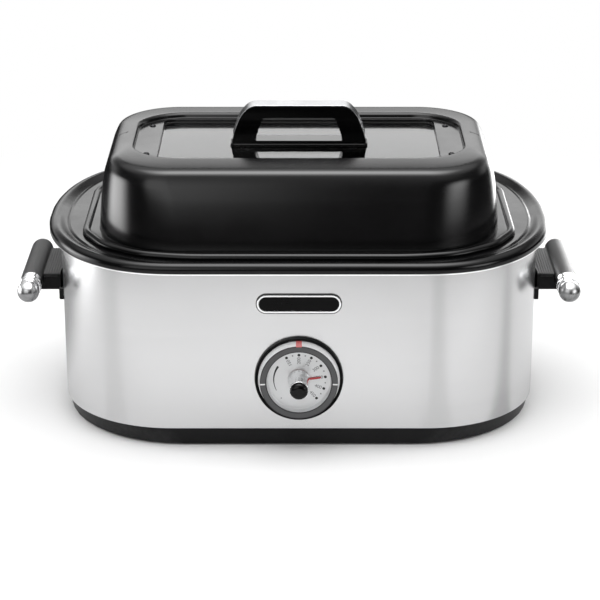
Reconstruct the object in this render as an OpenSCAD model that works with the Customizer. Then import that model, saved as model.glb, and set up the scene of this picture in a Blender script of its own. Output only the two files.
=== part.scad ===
// Electric roaster oven: steel sleeve on a black base, rolled black rim, lift-out pan and
// rack, and a lift-off domed lid with a window. Millimetres.
// X is the width, Y the depth with the dial on the -Y side, Z up from the underside of the feet.

/* [Sleeve] */
// Half width of the steel sleeve
shell_hw = 252.5; // [200:0.5:300]
// Half depth of the steel sleeve
shell_hd = 160.5; // [120:0.5:200]
// Corner radius of the steel sleeve
shell_r = 120; // [60:1:150]
// Height of the sleeve's lower edge
shell_z0 = 20; // [14:0.5:30]
// Height of the sleeve's upper edge
shell_z1 = 201; // [150:0.5:240]
// Sheet thickness of the sleeve
shell_t = 1; // [0.6:0.1:2]

/* [Base] */
// Half width of the base skirt
base_hw = 249; // [190:0.5:300]
// Half depth of the base skirt
base_hd = 158; // [110:0.5:200]
// Corner radius of the base skirt
base_r = 130; // [60:1:150]
// Distance the rubber feet stand out below the base
foot_drop = 2; // [1:0.5:6]

/* [Rim] */
// Half width of the rim
rim_hw = 268; // [220:0.5:320]
// Half depth of the rim
rim_hd = 177.2; // [130:0.1:220]
// Height of the rim's flat top
rim_z = 203.5; // [160:0.5:240]

/* [Pan] */
// Half width of the pan's rolled edge
pan_hw = 228; // [180:0.5:260]
// Half depth of the pan's rolled edge
pan_hd = 153.5; // [110:0.5:190]
// Height of the pan's inner floor
pan_floor_z = 55.4; // [40:0.2:90]
// Sheet thickness of the pan
pan_t = 1.2; // [0.6:0.1:2]

/* [Lid] */
// Half width of the lid wall at its foot
lid_hw = 210.5; // [170:0.5:250]
// Half depth of the lid wall at its foot
lid_hd = 139; // [100:0.5:180]
// Height of the lid's top face
lid_z = 290.6; // [240:0.2:340]
// Depth of the window field below the lid's top
recess_d = 5.2; // [3:0.1:12]
// Half width of the window opening
glass_hw = 148; // [100:0.5:170]
// Half depth of the window opening
glass_hd = 77.5; // [40:0.5:90]
// Distance of the window's middle behind the lid's middle
glass_back = 2.5; // [0:0.5:6]
// Depth of the window pane below its field
pane_d = 4.1; // [3.5:0.1:6]
// Thickness of the window pane
glass_t = 4; // [3:0.5:6]
// Height of the top of the lid handle
handle_z = 326; // [300:0.5:360]

/* [Dial] */
// Height of the dial centre
dial_z = 77; // [60:0.5:110]
// Outer radius of the black ring behind the dial
dial_r = 45.5; // [35:0.5:60]
// Angle of the pointer at rest, clockwise from the top
point_a = 83.1; // [0:0.1:138]
// Radius of the control shaft
shaft_r = 3; // [2:0.1:5]
// Radial running clearance of the control shaft
shaft_gap = 0.05; // [0.01:0.01:0.1]

/* [Side handles] */
// Distance of each grip axis from the middle
grip_x = 285.8; // [270:0.1:320]
// Height of the grip axis
grip_z = 143; // [110:0.5:170]
// Radius of the grip
grip_r = 12; // [9:0.5:16]
// Radius of the ball at the front end of each grip
ball_r = 11.5; // [8:0.1:15]

/* [Hidden] */
y_mid = 9;
seg = 12;
face_y = -shell_hd;
k1 = [pan_hw, pan_hd - 81.5];
k2 = [pan_hw - 23, pan_hd - 38.5];
k3 = [pan_hw - 62, pan_hd - 10.5];
k4 = [pan_hw - 110, pan_hd];
base_z = foot_drop;
pane_z = lid_z - recess_d - pane_d;
screw_xy = [[159.5, 53], [-159.5, 53], [159.5, -53], [-159.5, -53]];
feet_xy = [[176, 92], [-176, 92], [176, -92], [-176, -92]];
rod_xy = [[120, 60], [-120, 60], [120, -60], [-120, -60]];

// Outlines with the same number of points, counter-clockwise from +X.
function rr(hw, hd, r, n = seg - 1) = [for (q = [0:3], i = [0:n])
  let (a = 90 * q + 90 * i / n, sx = (q == 0 || q == 3) ? 1 : -1, sy = q < 2 ? 1 : -1)
  [sx * (hw - r) + r * cos(a), sy * (hd - r) + r * sin(a)]];
function unit(v) = v / norm(v);
function nrm(a, b) = let (d = unit(b - a)) [d[1], -d[0]];
function push(k, a, b, o) = k + o * (a + b) / (1 + a * b);
function bend(p, k, q, f, m = 3) = let (a = k + f * unit(p - k), b = k + f * unit(q - k))
  [for (i = [0:m - 1]) let (t = i / (m - 1)) pow(1 - t, 2) * a + 2 * t * (1 - t) * k + t * t * b];
function quarter(o) = let (n0 = [1, 0], n1 = nrm(k1, k2), n2 = nrm(k2, k3), n3 = nrm(k3, k4),
    n4 = [0, 1], a = push(k1, n0, n1, o), b = push(k2, n1, n2, o), c = push(k3, n2, n3, o),
    d = push(k4, n3, n4, o), e = [0, pan_hd + o])
  concat(bend([a[0], 0], a, b, 12), bend(a, b, c, 14), bend(b, c, d, 18), bend(c, d, e, 22));
function flip(l, sx, sy) = let (n = len(l)) [for (i = [0:n - 1])
  let (p = sx * sy > 0 ? l[i] : l[n - 1 - i]) [sx * p[0], sy * p[1]]];
// The pan's edge with its cut corners, pushed outwards by o.
function path(o) = let (q = quarter(o))
  concat(q, flip(q, -1, 1), flip(q, -1, -1), flip(q, 1, -1));
function at(l, z) = [for (p = l) [p[0], p[1], z]];
// The same, for rings about the window's middle.
function win(l, z) = [for (p = l) [p[0], p[1] + glass_back, z]];
// The rim's outline as shares of its half width and half depth, back and front quarter.
rim_b = [[1, .079], [.9955, .186], [.985, .31], [.968, .432], [.942, .559], [.905, .683],
  [.8545, .803], [.791, .896], [.7145, .961], [.6305, 1.0017], [.541, 1.0214], [.444, 1.0271]];
rim_f = [[1, .068], [.9955, .164], [.9835, .288], [.9655, .395], [.94, .499], [.905, .607],
  [.858, .7156], [.7985, .8115], [.72, .904], [.636, .9616], [.545, .992], [.444, 1]];
function outset(l, o) = let (n = len(l)) [for (i = [0:n - 1])
  push(l[i], nrm(l[(i + n - 1) % n], l[i]), nrm(l[i], l[(i + 1) % n]), o)];
rim_line = concat(rim_b, flip(rim_b, -1, 1), flip(rim_f, -1, -1), flip(rim_f, 1, -1));
function rim(o) = outset([for (p = rim_line) [p[0] * rim_hw, p[1] * rim_hd]], o);
function ridge(o) = [for (p = rim(o)) [p[0], p[1] * 1.02]];

// Skin over a list of rings that runs upwards on the outside and downwards on the inside.
module skin(rings, closed = true) {
  n = len(rings[0]);
  k = len(rings);
  last = closed ? k - 1 : k - 2;
  sides = [for (j = [0:last], i = [0:n - 1], h = [0, 1])
    let (a = j * n + i, b = j * n + (i + 1) % n, c = ((j + 1) % k) * n + i,
      d = ((j + 1) % k) * n + (i + 1) % n) h == 0 ? [a, c, d] : [a, d, b]];
  ends = closed ? [] : [[for (i = [0:n - 1]) i], [for (i = [n - 1:-1:0]) (k - 1) * n + i]];
  polyhedron(points = [for (r = rings) each r], faces = concat(sides, ends));
}

module rect2(hw, hd, r) {
  square([2 * hw, 2 * (hd - r)], center = true);
  square([2 * (hw - r), 2 * hd], center = true);
  for (sx = [-1, 1], sy = [-1, 1]) translate([sx * (hw - r), sy * (hd - r)]) circle(r = r, $fn = 96);
}
module slab(z0, z1, hw, hd, r) {
  translate([0, 0, z0]) linear_extrude(z1 - z0) rect2(hw, hd, r);
}
module ring(z0, z1, hw, hd, r, t) {
  translate([0, 0, z0]) linear_extrude(z1 - z0) difference() {
    rect2(hw, hd, r);
    rect2(hw - t, hd - t, r - t);
  }
}
module rod(p, r, h) { translate(p) cylinder(r = r, h = h, $fn = 48); }
// Cylinder along Y from y0 to y1.
module yrod(x, z, y0, y1, r) {
  translate([x, y0, z]) rotate([-90, 0, 0]) cylinder(r = r, h = y1 - y0, $fn = 64);
}
module xrod(y, z, x0, x1, r) {
  translate([x0, y, z]) rotate([0, 90, 0]) cylinder(r = r, h = x1 - x0, $fn = 48);
}
// Turned shape on the dial axis, drawn as radius and distance in front of the sleeve.
module turned(pts) {
  translate([0, face_y, dial_z]) rotate([90, 0, 0]) rotate_extrude($fn = 128) polygon(pts);
}
// Moves a piece back so that the origin lies under the middle of the whole object's box.
module centred() { translate([0, y_mid, 0]) children(); }
module mirrored() {
  children();
  mirror([1, 0, 0]) children();
}
// Round bar through a list of points.
module wire(pts, r, fine = 8) {
  for (i = [0:len(pts) - 2]) {
    v = pts[i + 1] - pts[i];
    translate(pts[i]) rotate([0, acos(v[2] / norm(v)), atan2(v[1], v[0])])
      cylinder(r = r, h = norm(v), $fn = fine);
  }
  for (p = pts) translate(p) sphere(r = r * 1.15, $fn = fine);
}

module base_tray() {
  sw = shell_hw - 1.2;
  sd = shell_hd - 1.2;
  sr = shell_r - 1.2;
  color("#1c1c1e") centred() difference() {
    union() {
      skin([at(rr(base_hw, base_hd, base_r), base_z), at(rr(sw, sd, sr), shell_z0),
        at(rr(sw - 0.8, sd - 0.8, sr - 0.8), shell_z0),
        at(rr(sw - 0.8, sd - 0.8, sr - 0.8), shell_z0 + 6),
        at(rr(sw - 3, sd - 3, sr - 3), shell_z0 + 6),
        at(rr(base_hw - 3, base_hd - 3, base_r - 3), base_z + 3.5)], closed = false);
      for (p = rod_xy) rod([p[0], p[1], base_z + 1], 9, 5.5);
    }
    for (p = feet_xy) {
      rod([p[0], p[1], base_z - 1], 12.3, 2.5);
      rod([p[0], p[1], base_z - 1], 4.1, 6);
    }
    for (p = rod_xy) rod([p[0], p[1], base_z - 1], 2.6, 12);
    for (p = rod_xy) rod([p[0], p[1], base_z - 1], 7, 3.2);
    for (i = [-5:5], s = [-1, 1]) translate([i * 16 - 2, s * 108 - 14, base_z - 1]) cube([4, 28, 6]);
    for (i = [-2:2]) translate([i * 16 - 2, -16, base_z - 1]) cube([4, 32, 6]);
  }
}
module rubber_feet() {
  color("#2b2b2b") centred() for (p = feet_xy) {
    rod([p[0], p[1], 0], 11, 0.8);
    rod([p[0], p[1], 0.8], 12, base_z + 0.7);
    rod([p[0], p[1], base_z + 1], 4, 3.6);
    rod([p[0], p[1], base_z + 3.6], 5.6, 2);
  }
}
module rating_plate() {
  color("#c9ccd0") centred() translate([-130, -25, base_z - 0.4]) cube([55, 50, 0.4]);
}
module tie_rods() {
  color("#b9bdc2") centred() for (p = rod_xy) {
    rod([p[0], p[1], base_z + 0.2], 2.5, 46.2 - base_z - 0.2);
    rod([p[0], p[1], base_z + 0.2], 6, 1.8);
  }
}
module tie_spacers() {
  color("#b9bdc2") centred() for (p = rod_xy) difference() {
    rod([p[0], p[1], base_z + 6.5], 5, 30 - base_z - 6.5);
    rod([p[0], p[1], base_z + 5], 2.7, 30);
  }
}
module tie_nuts() {
  color("#b9bdc2") centred() for (p = rod_xy) difference() {
    translate([p[0], p[1], 30.8]) cylinder(r = 4.6, h = 4, $fn = 6);
    rod([p[0], p[1], 30], 2.55, 6);
  }
}
module heat_shield() {
  color("#c4c7ca") centred() difference() {
    union() {
      slab(30, 30.8, 222, 130, 108);
      ring(30, 38, 222, 130, 108, 0.8);
    }
    for (p = rod_xy) rod([p[0], p[1], 29], 2.7, 3);
  }
}

module outer_shell() {
  color("#d8dadc") centred() difference() {
    ring(shell_z0, shell_z1, shell_hw, shell_hd, shell_r, shell_t);
    yrod(0, dial_z, face_y - 2, face_y + 3, 9);
    for (s = [-1, 1]) yrod(30 * s, dial_z, face_y - 2, face_y + 3, 1.7);
    yrod(0, dial_z + 38, face_y - 2, face_y + 3, 4.3);
    for (s = [-1, 1]) yrod(32 * s, 159, face_y - 2, face_y + 3, 1.3);
    yrod(90, 44, shell_hd - 3, shell_hd + 2, 8.1);
    for (s = [-1, 1], y = [-18, 18]) xrod(y, 139, s * shell_hw - 3, s * shell_hw + 3, 2.2);
    for (i = [0:4]) yrod(0, 34 + i * 38, shell_hd - 3, shell_hd + 2, 1.9);
  }
}
module shell_seam() {
  color("#d0d2d4") centred() difference() {
    translate([-9, shell_hd, shell_z0 + 1]) cube([18, 0.9, 174]);
    for (i = [0:4]) yrod(0, 34 + i * 38, shell_hd - 3, shell_hd + 2, 1.9);
  }
}
module seam_rivets() {
  color("#b4b7ba") centred() for (i = [0:4]) {
    yrod(0, 34 + i * 38, shell_hd - 1.8, shell_hd + 0.9, 1.8);
    yrod(0, 34 + i * 38, shell_hd + 0.9, shell_hd + 1.8, 3);
    yrod(0, 34 + i * 38, shell_hd - 2.2, shell_hd - shell_t, 2.8);
  }
}

module rim_frame() {
  z = rim_z;
  color("#17181a") centred() skin([
    at(rim(-1.2), z - 7), at(rim(-0.3), z - 6.2), at(rim(0), z - 3.5), at(rim(-0.6), z - 0.2),
    at(rim(-2.4), z + 2.4), at(rim(-5), z + 3.5), at(rim(-7.8), z + 2.7), at(rim(-10), z + 0.9),
    at(rim(-12.5), z), at(ridge(-19.8), z), at(ridge(-21.2), z + 1.2),
    at(ridge(-22.8), z), at(path(-6), z), at(path(-7), z - 0.8),
    at(path(-6), z - 1.6), at(ridge(-22.8), z - 1.6),
    at(rim(-11.5), z - 1.6), at(rim(-5), z - 0.6), at(rim(-2.4), z - 2), at(rim(-1.9), z - 6.4)]);
}
module liner_well() {
  z = rim_z - 1.7;
  color("#c2c6ca") centred() skin([
    at(rr(196, 121, 58), 46.2), at(rr(203, 128, 64), 47.8), at(rr(207, 132, 66), 53),
    at(path(-8.4), z - 3.4), at(path(-6.5), z - 1.1), at(path(1), z - 0.9), at(path(1), z),
    at(path(-7.2), z), at(path(-9.4), z - 3), at(rr(206, 131, 65.2), 53.4),
    at(rr(202.2, 127.2, 63.2), 48.8), at(rr(196, 121, 58), 47.2)], closed = false);
}
module insulation_blanket() {
  color("#d9d4c4") centred() difference() {
    translate([0, 0, 62]) linear_extrude(126) difference() {
      rect2(246, 154, 129);
      rect2(226, 148.8, 100);
    }
    translate([-90, -170, 60]) cube([142, 60, 68]);
    translate([60, 120, 60]) cube([60, 50, 20]);
  }
}
module heater_band_low() {
  color("#8d9196") centred() ring(101, 125, 215.6, 140.8, 81.6, 1.6);
}
module heater_band_high() {
  color("#8d9196") centred() ring(137, 161, 218.8, 144.2, 83.6, 1.6);
}
module heater_terminals() {
  color("#e7e0d2") centred() for (x = [-92, -80]) {
    yrod(x, 113, -146.5, -140.9, 4);
    yrod(x, 149, -148.6, -144.3, 3.6);
  }
}
module thermal_fuse() {
  color("#d4d7da") centred() {
    translate([70, 141.2, 106]) cube([26, 5, 8]);
    translate([62, 140.9, 108.5]) cube([42, 1.2, 3]);
  }
}
module terminal_block() {
  color("#efe9dc") centred() difference() {
    translate([64, 92, base_z + 3.5]) cube([46, 20, 14]);
    for (i = [0:2]) rod([73 + i * 14, 102, 14], 2.6, 10);
  }
}
module terminal_screws() {
  color("#c8a24a") centred() for (i = [0:2]) {
    rod([73 + i * 14, 102, 14.2], 2.5, 3.5);
    rod([73 + i * 14, 102, 17], 2.2, 2);
  }
}
module wiring() {
  color("#a33a2c") centred() {
    wire([[90, 149, 44], [90, 140, 40], [90, 135, 27], [86, 112, 24.5], [73, 104, 22.5]], 1.6);
    wire([[84, 102, 22.5], [40, 40, 16], [10, -90, 16], [8, -130, 18], [8, -146, 28], [8, -150, 40],
      [8, -150, 51.5]], 1.6);
    wire([[101, 102, 22.5], [110, 40, 16], [-10, -96, 20], [-8, -130, 20], [-8, -146, 28],
      [-8, -150, 40], [-8, -150, 51.5]], 1.6);
    wire([[-24, -146, 66], [-60, -150.5, 92], [-80, -149.3, 104], [-80, -149.3, 112]], 1.4);
  }
}
module cord_gland() {
  color("#1b1b1d") centred() difference() {
    union() {
      yrod(90, 44, shell_hd - 9, shell_hd, 8);
      yrod(90, 44, shell_hd, shell_hd + 4, 11);
      yrod(90, 44, shell_hd + 4, shell_hd + 9, 7);
      yrod(90, 44, shell_hd - 4.5, shell_hd - shell_t, 10.5);
    }
    yrod(90, 44, shell_hd - 12, shell_hd + 12, 3.6);
  }
}

module thermostat_body() {
  color("#e4ddcd") centred() difference() {
    union() {
      yrod(0, dial_z, face_y + 2.2, face_y + 21, 17);
      yrod(0, dial_z, face_y - 3, face_y + 2.2, 6.5);
      for (s = [-1, 1]) translate([s * 9 - 3, face_y + 6, dial_z - 23]) cube([6, 8, 8]);
    }
    yrod(0, dial_z, face_y - 6, face_y + 14, shaft_r + shaft_gap);
  }
}
module thermostat_bracket() {
  color("#b9bdc2") centred() difference() {
    translate([-37, face_y + shell_t, dial_z - 13]) cube([74, 1.2, 26]);
    yrod(0, dial_z, face_y - 2, face_y + 4, 6.6);
    for (s = [-1, 1]) yrod(30 * s, dial_z, face_y - 2, face_y + 4, 1.65);
  }
}
module thermostat_screws() {
  color("#b9bdc2") centred() for (s = [-1, 1]) {
    yrod(30 * s, dial_z, face_y, face_y + 6, 1.6);
    yrod(30 * s, dial_z, face_y - 2, face_y, 3);
  }
}
module indicator_lamp() {
  color("#e6e0d0") centred() {
    yrod(0, dial_z + 38, face_y - 2.8, face_y + 11, 4);
    yrod(0, dial_z + 38, face_y + shell_t, face_y + 3, 6);
  }
}
module indicator_lens() {
  color("#c9232b") centred() intersection() {
    turned([[39.3, 3.1], [42.2, 3.1], [42.1, 3.8], [40.4, 11.9], [39.3, 11.9]]);
    translate([-3, face_y - 40, dial_z]) cube([6, 60, 60]);
  }
}
module dial_base() {
  color("#141416") centred() difference() {
    turned([[7, 0], [dial_r + 0.5, 0], [dial_r, 4.2], [dial_r - 0.6, 5], [dial_r - 1.5, 4.7],
      [dial_r - 3.1, 3], [7, 3]]);
    for (s = [-1, 1]) yrod(30 * s, dial_z, face_y - 2.2, face_y + 1, 3.3);
    yrod(0, dial_z + 38, face_y - 2.9, face_y + 1, 4.2);
  }
}
module dial_bezel() {
  color("#e8eaec") centred() difference() {
    turned([[39.2, 3], [42.3, 3], [42.3, 3.8], [40.3, 12.9], [39.9, 13.3], [39.5, 13.3], [39.2, 13]]);
    translate([-3.1, face_y - 12, dial_z + 30]) cube([6.2, 9, 20]);
  }
}
module dial_annulus() {
  color("#5b5d60") centred() turned([[34, 3], [39.1, 3], [39.1, 12.9], [36.8, 12.8],
    [34.4, 12.8], [34, 12.5]]);
}
module dial_plate() {
  color("#cfd2d5") centred() turned([[7, 3], [33.8, 3], [33.8, 12.2], [33.3, 12.2],
    [32.9, 6.2], [32, 5], [7, 5]]);
}
module pill(l, h, y0, y1) {
  translate([0, y1, 159]) rotate([90, 0, 0]) linear_extrude(y1 - y0) {
    square([l - h, h], center = true);
    for (s = [-1, 1]) translate([s * (l - h) / 2, 0]) circle(d = h, $fn = 96);
  }
}
module badge_frame() {
  color("#e8eaec") centred() {
    difference() {
      pill(88, 22, face_y - 2.2, face_y);
      pill(80.5, 14.5, face_y - 3, face_y - 1);
    }
    for (s = [-1, 1]) yrod(32 * s, 159, face_y, face_y + 3.5, 1.2);
  }
}
module badge_plate() {
  color("#0f0f11") centred() pill(80.2, 14.2, face_y - 1.9, face_y - 1);
}

module knob_shaft() {
  color("#b9bdc2") centred() yrod(0, dial_z, face_y - 24, face_y + 13, shaft_r);
}
module knob_stalk() {
  color("#e8eaec") centred() difference() {
    turned([[0, 6.4], [11.2, 6.4], [11.2, 7.4], [10.6, 9], [9.9, 11], [9.8, 33.4], [9.3, 34.4],
      [8.6, 34.4], [8.6, 31.5], [0, 31.5]]);
    yrod(0, dial_z, face_y - 25, face_y, shaft_r + 0.02);
  }
}
module knob_cap() {
  color("#111113") centred() turned([[0, 31.6], [8.5, 31.6], [8.5, 35.4], [8, 37], [6.8, 38.2], [4.6, 39],
    [2.2, 39.4], [0, 39.5]]);
}
module knob_pointer() {
  color("#c4242c") centred() difference() {
    union() {
      turned([[0, 5.4], [10.4, 5.4], [10.4, 6.3], [0, 6.3]]);
      translate([0, face_y - 6.3, dial_z]) rotate([0, point_a, 0]) translate([-0.8, 0, 9])
        cube([1.6, 0.9, 14]);
    }
    yrod(0, dial_z, face_y - 8, face_y, shaft_r + 0.04);
  }
}

// Phenolic grip, web and sleeve plate of the -X side handle.
module grip_side() {
  difference() {
    union() {
      yrod(-grip_x, grip_z, -55, 52, grip_r);
      translate([-grip_x, 52, grip_z]) sphere(r = grip_r, $fn = 64);
      translate([-grip_x, -38.5, 128.6]) cube([grip_x - shell_hw - 1.5, 84.5, 18.6]);
      intersection() {
        ring(124, 152, shell_hw + 3.2, shell_hd + 3.2, shell_r + 3.2, 3.1);
        translate([-shell_hw - 5, -46, 120]) cube([20, 92, 40]);
      }
    }
    yrod(-grip_x, grip_z, -60, 40, 4.05);
    for (y = [-18, 18]) xrod(y, 139, -shell_hw - 12, -shell_hw + 2, 2.05);
    translate([-grip_x + 13, -30, 128]) cube([14, 60, 12]);
  }
}
module handle_left() { color("#232325") centred() grip_side(); }
module handle_right() { color("#232325") centred() mirror([1, 0, 0]) grip_side(); }
module handle_rods() {
  color("#b9bdc2") centred() mirrored() yrod(-grip_x, grip_z, -80, 39.5, 4);
}
module handle_sleeves() {
  color("#e8eaec") centred() mirrored() difference() {
    union() {
      yrod(-grip_x, grip_z, -66, -55, grip_r);
      yrod(-grip_x, grip_z, -68, -66, grip_r - 1.2);
      yrod(-grip_x, grip_z, -73, -68, grip_r - 0.2);
    }
    yrod(-grip_x, grip_z, -80, -50, 4.1);
  }
}
module handle_balls() {
  color("#e8eaec") centred() mirrored() difference() {
    translate([-grip_x, -82, grip_z]) rotate([-90, 0, 0]) sphere(r = ball_r, $fn = 64);
    yrod(-grip_x, grip_z, -80.2, -60, 4.05);
    yrod(-grip_x, grip_z, -73, -60, 15);
  }
}
module handle_screws() {
  color("#b9bdc2") centred() mirrored() for (y = [-18, 18]) {
    xrod(y, 139, -shell_hw - 6, -shell_hw + shell_t, 2);
    xrod(y, 139, -shell_hw + shell_t, -shell_hw + shell_t + 2.4, 4);
  }
}

module insert_pan() {
  z = rim_z;
  f = pan_floor_z;
  t = pan_t;
  color("#1a1b1d") centred() skin([
    at(rr(191, 117, 56), f - t), at(rr(196.6, 122.6, 60), f - t + 1.4), at(rr(200, 126, 63), f + 4),
    at(path(-14), z - 12), at(path(-13), z - 0.4), at(path(-8.5), z + 0.7), at(path(-6.5), z + 0.1),
    at(path(-1), z + 0.1), at(path(0), z + 1.6), at(path(-0.6), z + 3.6), at(path(-2.4), z + 4.7),
    at(path(-5), z + 4.7), at(path(-6.8), z + 3.8), at(path(-7.6), z + 2), at(path(-13.6), z + 1.9),
    at(path(-14.2), z + 0.6), at(path(-15.2), z - 12), at(rr(198.8, 124.8, 62), f + 4.6),
    at(rr(195.8, 121.8, 59.6), f + 1.4), at(rr(191, 117, 56), f)], closed = false);
}
module roasting_rack() {
  z = pan_floor_z + 14;
  color("#dfe2e5") centred() {
    for (s = [-1, 1]) {
      yrod(s * 182, z, -62, 62, 2.5);
      xrod(s * 107, z, -137, 137, 2.5);
      wire([[s * 182, -42, z], [s * 187, -42, z + 70], [s * 187, 42, z + 70], [s * 182, 42, z]], 2.2, 24);
      for (t = [-1, 1]) {
        wire([[s * 140, t * 60, z - 1.5], [s * 140, t * 60, pan_floor_z + 2.7],
          [s * 140, t * 36, pan_floor_z + 2.7], [s * 140, t * 36, z - 1.5]], 2, 24);
      }
    }
    for (q = [0:3]) rotate([0, 0, 90 * q]) {
      a = q % 2 == 0 ? [137, 62] : [62, 137];
      translate([a[0], a[1], z]) rotate_extrude(angle = 90, $fn = 96) translate([45, 0]) circle(r = 2.5, $fn = 24);
    }
    for (i = [-9:9]) yrod(i * 18, z, -106, 106, 1.6);
    for (y = [-60, 60]) xrod(y, z - 1.2, -181, 181, 1.9);
  }
}

module lid_shell() {
  z = lid_z;
  r = lid_z - recess_d;
  t = 1.5;
  c = pane_z + 1;
  gw = glass_hw;
  gd = glass_hd;
  color("#151517") centred() difference() {
    skin([
      at(path(-8.4), 205.9), at(path(-8), 206.7), at(path(-8.8), 207.7), at(path(-11.4), 207.5),
      at(rr(lid_hw, lid_hd, 90), 209), at(rr(208.2, 136.4, 84), 235), at(rr(205.4, 133.4, 78), 258),
      at(rr(202.6, 130.6, 72), z - 18.6), at(rr(200.2, 128.4, 67), z - 9),
      at(rr(199, 127.2, 65.4), z - 4.5), at(rr(195.7, 123.9, 63), z - 1.2),
      at(rr(191.2, 119.4, 59.5), z), at(rr(184, 102, 54), z - 0.3),
      win(rr(175.2, 85.1, 51.2), z - 1.4), win(rr(174, 83.9, 50), z - 2.2),
      win(rr(173.2, 83.1, 49.5), r), win(rr(gw, gd, 12), r), win(rr(gw, gd, 12), c),
      win(rr(gw + t, gd + t, 13.5), c), win(rr(gw + t, gd + t, 13.5), r - t),
      win(rr(174.7, 84.6, 51), r - t), win(rr(175.5, 85.4, 51.5), z - 3.3),
      at(rr(184, 102, 54), z - 1.8), at(rr(190.8, 119, 59.2), z - 1.5),
      at(rr(194.6, 122.8, 62), z - 2.5), at(rr(197.6, 125.8, 64), z - 5.2),
      at(rr(198.7, 126.9, 65.5), z - 9.3), at(rr(201.1, 129.1, 70.5), z - 18.8),
      at(rr(203.9, 131.9, 76.5), 257.8), at(rr(206.7, 134.9, 82.5), 234.8),
      at(rr(lid_hw - t, lid_hd - t, 88.5), 209.3),
      at(path(-17.3), 206.8), at(path(-17.3), 200), at(path(-15.9), 200), at(path(-15.9), 205.9)]);
    for (p = screw_xy) rod([p[0], p[1], r - 4], 2.1, 8);
  }
}
module lid_gasket() {
  color("#3a3a3c") centred() translate([0, glass_back, pane_z]) linear_extrude(1) difference() {
    rect2(glass_hw + 5.5, glass_hd + 5.5, 17);
    rect2(glass_hw, glass_hd, 12);
  }
}
module lid_glass() {
  color("#aab0b3") centred() difference() {
    translate([0, glass_back, 0]) slab(pane_z - glass_t, pane_z, glass_hw + 6, glass_hd + 6, 18);
    for (s = [-1, 1]) rod([58 * s, 0, pane_z - 8], 3, 12);
  }
}
module lid_frame() {
  b = pane_z - glass_t - 2.4;
  color("#3c3e40") centred() difference() {
    translate([0, glass_back, 0]) {
      slab(b, lid_z - recess_d - 1.5, 168, glass_hd + 14.5, 43);
    }
    translate([0, glass_back, 0]) {
      slab(b - 1, b + 5, glass_hw, glass_hd, 12);
      slab(b + 2.4, b + 14, glass_hw + 6.5, glass_hd + 6.5, 18.5);
    }
    for (p = screw_xy) rod([p[0], p[1], b - 2], 1.95, 14);
  }
}
module lid_screws() {
  r = lid_z - recess_d;
  color("#4a4c4f") centred() for (p = screw_xy) {
    rod([p[0], p[1], r - 8], 1.9, 8);
    difference() {
      rod([p[0], p[1], r], 3.4, 1.5);
      translate([p[0], p[1], r + 0.8]) cube([4.4, 0.9, 3], center = true);
    }
  }
}

// Corner rounding of a polygon point by point, with one radius-like length each.
function soft(p, f) = let (n = len(p)) [for (i = [0:n - 1])
  each (f[i] > 0 ? bend(p[(i + n - 1) % n], p[i], p[(i + 1) % n], f[i], 7) : [p[i]])];
loop_slope = 10.4 / (314.4 - pane_z - 6);
band_x = 71.6 - (294.5 - pane_z - 6) * loop_slope;
function loop_out(o) = soft([[-71.2 - o, pane_z + 3], [-71.6 - o, pane_z + 6], [-61.2 - o, 314.4],
    [-51 - o * 0.6, handle_z - 1.5 + o], [51 + o * 0.6, handle_z - 1.5 + o], [61.2 + o, 314.4],
    [71.6 + o, pane_z + 6], [71.2 + o, pane_z + 3]], [0, 2.5, 7, 7.2, 7.2, 7, 2.5, 0]);
function band(o) = soft([[-band_x - o, 294.5], [-61.2 - o, 314.4], [-51 - o * 0.6, handle_z - 1.5 + o],
  [51 + o * 0.6, handle_z - 1.5 + o], [61.2 + o, 314.4], [band_x + o, 294.5]], [0, 7, 7.2, 7.2, 7, 0]);
module along_y(y0, y1) {
  translate([0, y1, 0]) rotate([90, 0, 0]) linear_extrude(y1 - y0) children();
}
module lid_handle() {
  color("#101012") centred() difference() {
    along_y(-11, 11) difference() {
      polygon(loop_out(0));
      polygon(soft([[-47, 287.4], [-38.5, 312.4], [38.5, 312.4], [47, 287.4]], [3, 4, 4, 3]));
    }
    for (s = [-1, 1]) rod([58 * s, 0, pane_z], 2.45, 20);
  }
}
module lid_handle_base() {
  color("#0d0d0f") centred() difference() {
    translate([0, 0, pane_z]) linear_extrude(3) rect2(73, 13, 6);
    for (s = [-1, 1]) rod([58 * s, 0, pane_z - 1], 2.6, 8);
  }
}
module lid_handle_trim() {
  color("#e8eaec") centred() along_y(-10.6, 10.6)
    polygon(concat(band(1.5), [for (i = [len(band(0)) - 1:-1:0]) band(0.03)[i]]));
}
module lid_handle_screws() {
  b = pane_z - glass_t;
  color("#b9bdc2") centred() for (s = [-1, 1]) {
    rod([58 * s, 0, b - 1.5], 2.4, 24);
    rod([58 * s, 0, b - 4.2], 4.6, 2.7);
  }
}
module lid_handle_washers() {
  b = pane_z - glass_t;
  color("#6a6c6e") centred() for (s = [-1, 1]) difference() {
    rod([58 * s, 0, b - 1.5], 8, 1.5);
    rod([58 * s, 0, b - 3], 2.5, 6);
  }
}

base_tray();
rubber_feet();
rating_plate();
tie_rods();
tie_spacers();
tie_nuts();
heat_shield();
outer_shell();
shell_seam();
seam_rivets();
rim_frame();
liner_well();
insulation_blanket();
heater_band_low();
heater_band_high();
heater_terminals();
thermal_fuse();
terminal_block();
terminal_screws();
wiring();
cord_gland();
thermostat_body();
thermostat_bracket();
thermostat_screws();
indicator_lamp();
indicator_lens();
dial_base();
dial_bezel();
dial_annulus();
dial_plate();
badge_frame();
badge_plate();
handle_left();
handle_right();
handle_rods();
handle_sleeves();
handle_balls();
handle_screws();
knob_shaft();
knob_stalk();
knob_cap();
knob_pointer();
insert_pan();
roasting_rack();
lid_shell();
lid_gasket();
lid_glass();
lid_frame();
lid_screws();
lid_handle();
lid_handle_base();
lid_handle_trim();
lid_handle_screws();
lid_handle_washers();
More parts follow.
